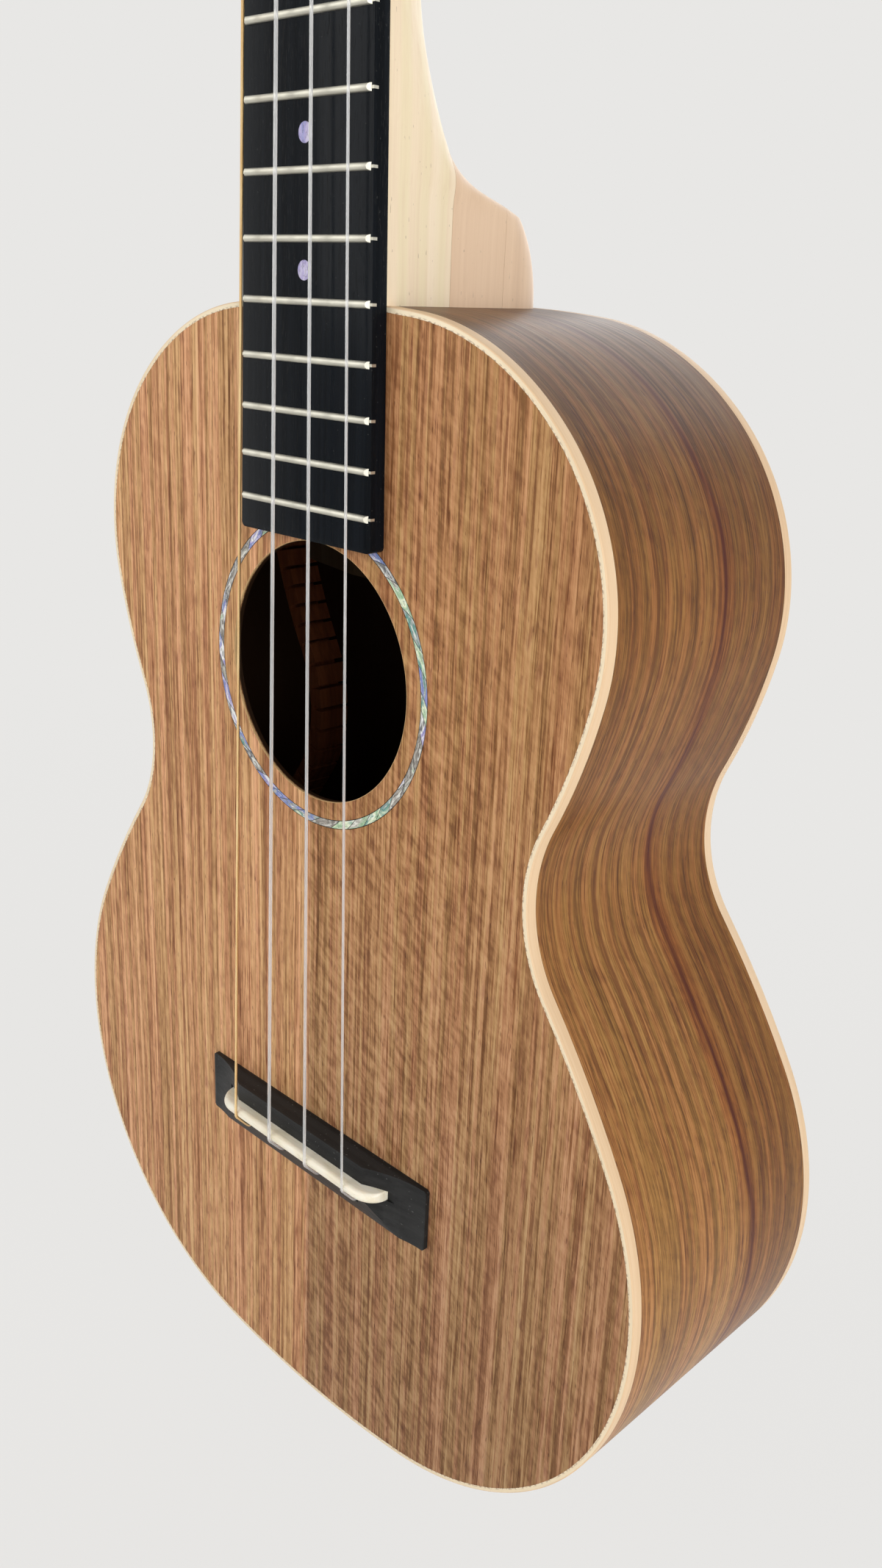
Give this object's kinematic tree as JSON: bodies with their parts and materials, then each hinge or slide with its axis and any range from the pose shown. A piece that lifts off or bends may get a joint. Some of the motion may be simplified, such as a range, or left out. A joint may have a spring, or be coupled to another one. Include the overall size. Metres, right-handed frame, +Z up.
{
  "type": "tenor ukulele",
  "caption": "Small waisted four-string lute with a round soundhole, bound edges, stacked heel, string-through bridge and geared tuners on a tilted head.",
  "frame": {"origin": "centre line of the neck, in the plane of the soundboard's face, at the height where a hanger's fork carries the flare of the head", "axes": "+Z up along the neck towards the head, +X towards the treble side, -Y out of the soundboard"},
  "size_m": [0.2216, 0.0909, 0.6492],
  "materials": {
    "tonewood": "satin",
    "sidewood": "satin",
    "maple": "satin",
    "neckwood": "satin",
    "spruce": "unfinished",
    "ebony": "oiled",
    "shell": "polished",
    "bone": "polished",
    "nickel": "polished",
    "clear": "clear",
    "gold_wire": "wound",
    "pearl": "polished"
  },
  "bodies": {
    "instrument": {"soundboard": "tonewood", "side_bass": "sidewood", "side_treble": "sidewood", "back_plate": "sidewood", "top_binding": "maple", "back_binding": "maple", "bridge_plate": "maple", "neck": "neckwood", "heel_upper": "neckwood", "heel_lower": "neckwood", "neck_block": "spruce", "tail_block": "spruce", "top_lining_bass": "spruce", "top_lining_treble": "spruce", "back_lining_bass": "spruce", "back_lining_treble": "spruce", "top_brace_upper": "spruce", "top_brace_lower": "spruce", "back_brace_upper": "spruce", "back_brace_lower": "spruce", "fan_brace_bass": "spruce", "fan_brace_centre": "spruce", "fan_brace_treble": "spruce", "fingerboard": "ebony", "bridge": "ebony", "rosette": "shell", "nut": "bone", "saddle": "bone", "fret_01": "nickel", "fret_02": "nickel", "fret_03": "nickel", "fret_04": "nickel", "fret_05": "nickel", "fret_06": "nickel", "fret_07": "nickel", "fret_08": "nickel", "fret_09": "nickel", "fret_10": "nickel", "fret_11": "nickel", "fret_12": "nickel", "fret_13": "nickel", "fret_14": "nickel", "fret_15": "nickel", "fret_16": "nickel", "tuner_1_plate": "nickel", "tuner_2_plate": "nickel", "tuner_3_plate": "nickel", "tuner_4_plate": "nickel", "string_3": "clear", "string_2": "clear", "string_1": "clear", "string_4": "gold_wire"},
    "tuner_1_worm_shaft": {"tuner_1_button": "pearl"},
    "tuner_1_string_post": {"tuner_1_post": "nickel"},
    "tuner_2_worm_shaft": {"tuner_2_button": "pearl"},
    "tuner_2_string_post": {"tuner_2_post": "nickel"},
    "tuner_3_worm_shaft": {"tuner_3_button": "pearl"},
    "tuner_3_string_post": {"tuner_3_post": "nickel"},
    "tuner_4_worm_shaft": {"tuner_4_button": "pearl"},
    "tuner_4_string_post": {"tuner_4_post": "nickel"}
  },
  "joints": [
    {"name": "tuner_1_turn", "type": "hinge", "parent": "instrument", "child": "tuner_1_worm_shaft", "pos_m": [0.019, 0.02344, 0.01601], "axis": [1, 0, 0], "continuous": true},
    {"name": "post_1_turn", "type": "hinge", "parent": "instrument", "child": "tuner_1_string_post", "pos_m": [0.019, 0.02485, 0.02261], "axis": [0, 0.9781, -0.2079], "continuous": true, "deforming": ["string_1"]},
    {"name": "tuner_2_turn", "type": "hinge", "parent": "instrument", "child": "tuner_2_worm_shaft", "pos_m": [0.019, 0.03155, 0.05416], "axis": [1, 0, 0], "continuous": true},
    {"name": "post_2_turn", "type": "hinge", "parent": "instrument", "child": "tuner_2_string_post", "pos_m": [0.019, 0.03296, 0.06076], "axis": [0, 0.9781, -0.2079], "continuous": true, "deforming": ["string_2"]},
    {"name": "tuner_3_turn", "type": "hinge", "parent": "instrument", "child": "tuner_3_worm_shaft", "pos_m": [-0.019, 0.03155, 0.05416], "axis": [1, 0, 0], "continuous": true},
    {"name": "post_3_turn", "type": "hinge", "parent": "instrument", "child": "tuner_3_string_post", "pos_m": [-0.019, 0.03296, 0.06076], "axis": [0, 0.9781, -0.2079], "continuous": true, "deforming": ["string_3"]},
    {"name": "tuner_4_turn", "type": "hinge", "parent": "instrument", "child": "tuner_4_worm_shaft", "pos_m": [-0.019, 0.02344, 0.01601], "axis": [1, 0, 0], "continuous": true},
    {"name": "post_4_turn", "type": "hinge", "parent": "instrument", "child": "tuner_4_string_post", "pos_m": [-0.019, 0.02485, 0.02261], "axis": [0, 0.9781, -0.2079], "continuous": true, "deforming": ["string_4"]}
  ],
  "couplings": [
    {"joint": "post_1_turn", "follows": "tuner_1_turn", "ratio": 0.071429},
    {"joint": "post_2_turn", "follows": "tuner_2_turn", "ratio": 0.071429},
    {"joint": "post_3_turn", "follows": "tuner_3_turn", "ratio": 0.071429},
    {"joint": "post_4_turn", "follows": "tuner_4_turn", "ratio": 0.071429}
  ]
}
